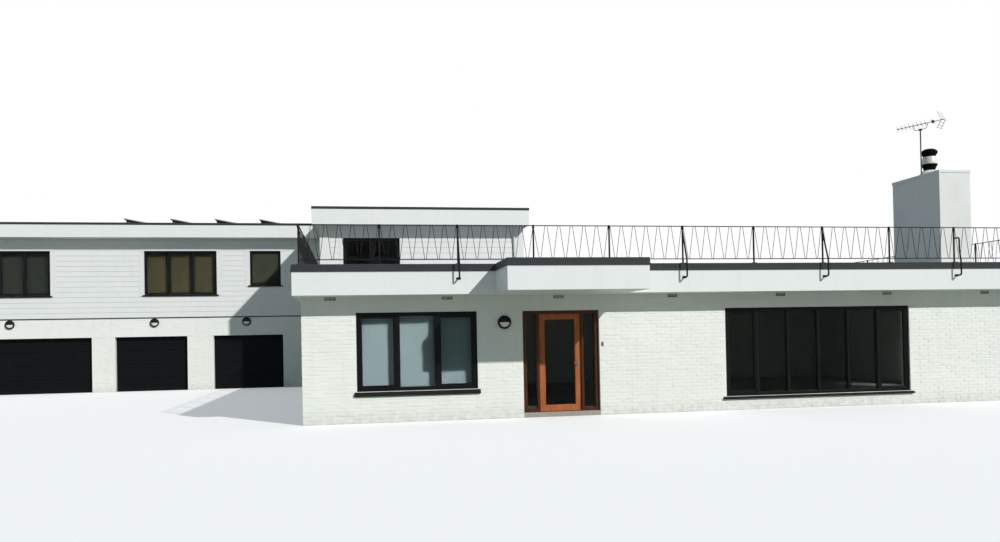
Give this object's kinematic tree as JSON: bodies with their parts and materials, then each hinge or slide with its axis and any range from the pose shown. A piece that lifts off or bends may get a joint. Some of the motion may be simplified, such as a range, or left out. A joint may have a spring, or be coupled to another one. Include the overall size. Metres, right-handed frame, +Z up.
{
  "type": "detached house",
  "caption": "White flat-roofed house with a railed roof terrace and chimney over its low front block and a taller garage wing behind; the front door opens.",
  "frame": {"origin": "under the middle of the house's plan box, at ground level", "axes": "+X to the right along the front wall, +Y from the front wall to the back, +Z up"},
  "size_m": [31.355, 22.491, 7.0554],
  "materials": {
    "painted_brick": "matt white masonry paint on brick",
    "white_boards": "satin white paint on boards",
    "white_fascia": "satin white paint",
    "white_render": "matt white render",
    "floor_slab": "matt",
    "upper_floor": "matt",
    "roof_surface": "matt mineral felt",
    "dark_trim": "satin",
    "dark_frame": "satin powder coat",
    "window_glass": "polished",
    "sill": "matt paint",
    "door_timber": "oiled red-brown hardwood",
    "door_metal": "brushed",
    "lamp": "satin",
    "vent": "matt",
    "bell": "gloss",
    "railing": "satin",
    "cowl": "weathered satin",
    "aerial": "weathered",
    "garage_panel": "satin",
    "solar_panel": "smooth",
    "blind_fabric": "matt woven",
    "pipe": "satin"
  },
  "bodies": {
    "house": {"ground_floor": "floor_slab", "front_wall_left": "painted_brick", "front_wall_over_door": "painted_brick", "front_wall_right": "painted_brick", "left_wall": "painted_brick", "right_wall": "painted_brick", "rear_wall": "painted_brick", "rear_side_wall": "painted_brick", "back_wall": "painted_brick", "wing_end_wall": "painted_brick", "garage_front_wall": "painted_brick", "wing_upper_wall": "white_boards", "terrace_room_wall": "white_boards", "first_floor": "upper_floor", "front_roof": "roof_surface", "front_fascia": "white_fascia", "front_roof_trim": "dark_trim", "air_bricks": "vent", "left_window_frame": "dark_frame", "wide_window_frame": "dark_frame", "front_window_glass": "window_glass", "front_sills": "sill", "door_frame": "door_timber", "wall_lamps": "lamp", "doorbell": "bell", "front_railing": "railing", "side_railings": "railing", "rear_railing": "railing", "railing_stays": "railing", "chimney_stack": "white_render", "chimney_cowl": "cowl", "tv_aerial": "aerial", "upper_roof": "roof_surface", "upper_fascia": "white_fascia", "upper_roof_trim": "dark_trim", "wing_window_frames": "dark_frame", "wing_window_glass": "window_glass", "rear_window_frames": "dark_frame", "rear_window_glass": "window_glass", "window_blinds": "blind_fabric", "garage_doors": "garage_panel", "solar_panels": "solar_panel", "downpipes": "pipe"},
    "front_door_leaf": {"front_door": "door_timber", "front_door_glass": "window_glass", "door_handle": "door_metal"}
  },
  "joints": [
    {"name": "front_door_hinge", "type": "hinge", "parent": "house", "child": "front_door_leaf", "pos_m": [3.115, -9.2865, 1.1], "axis": [0, 0, 1], "range_deg": [0, 95]}
  ]
}
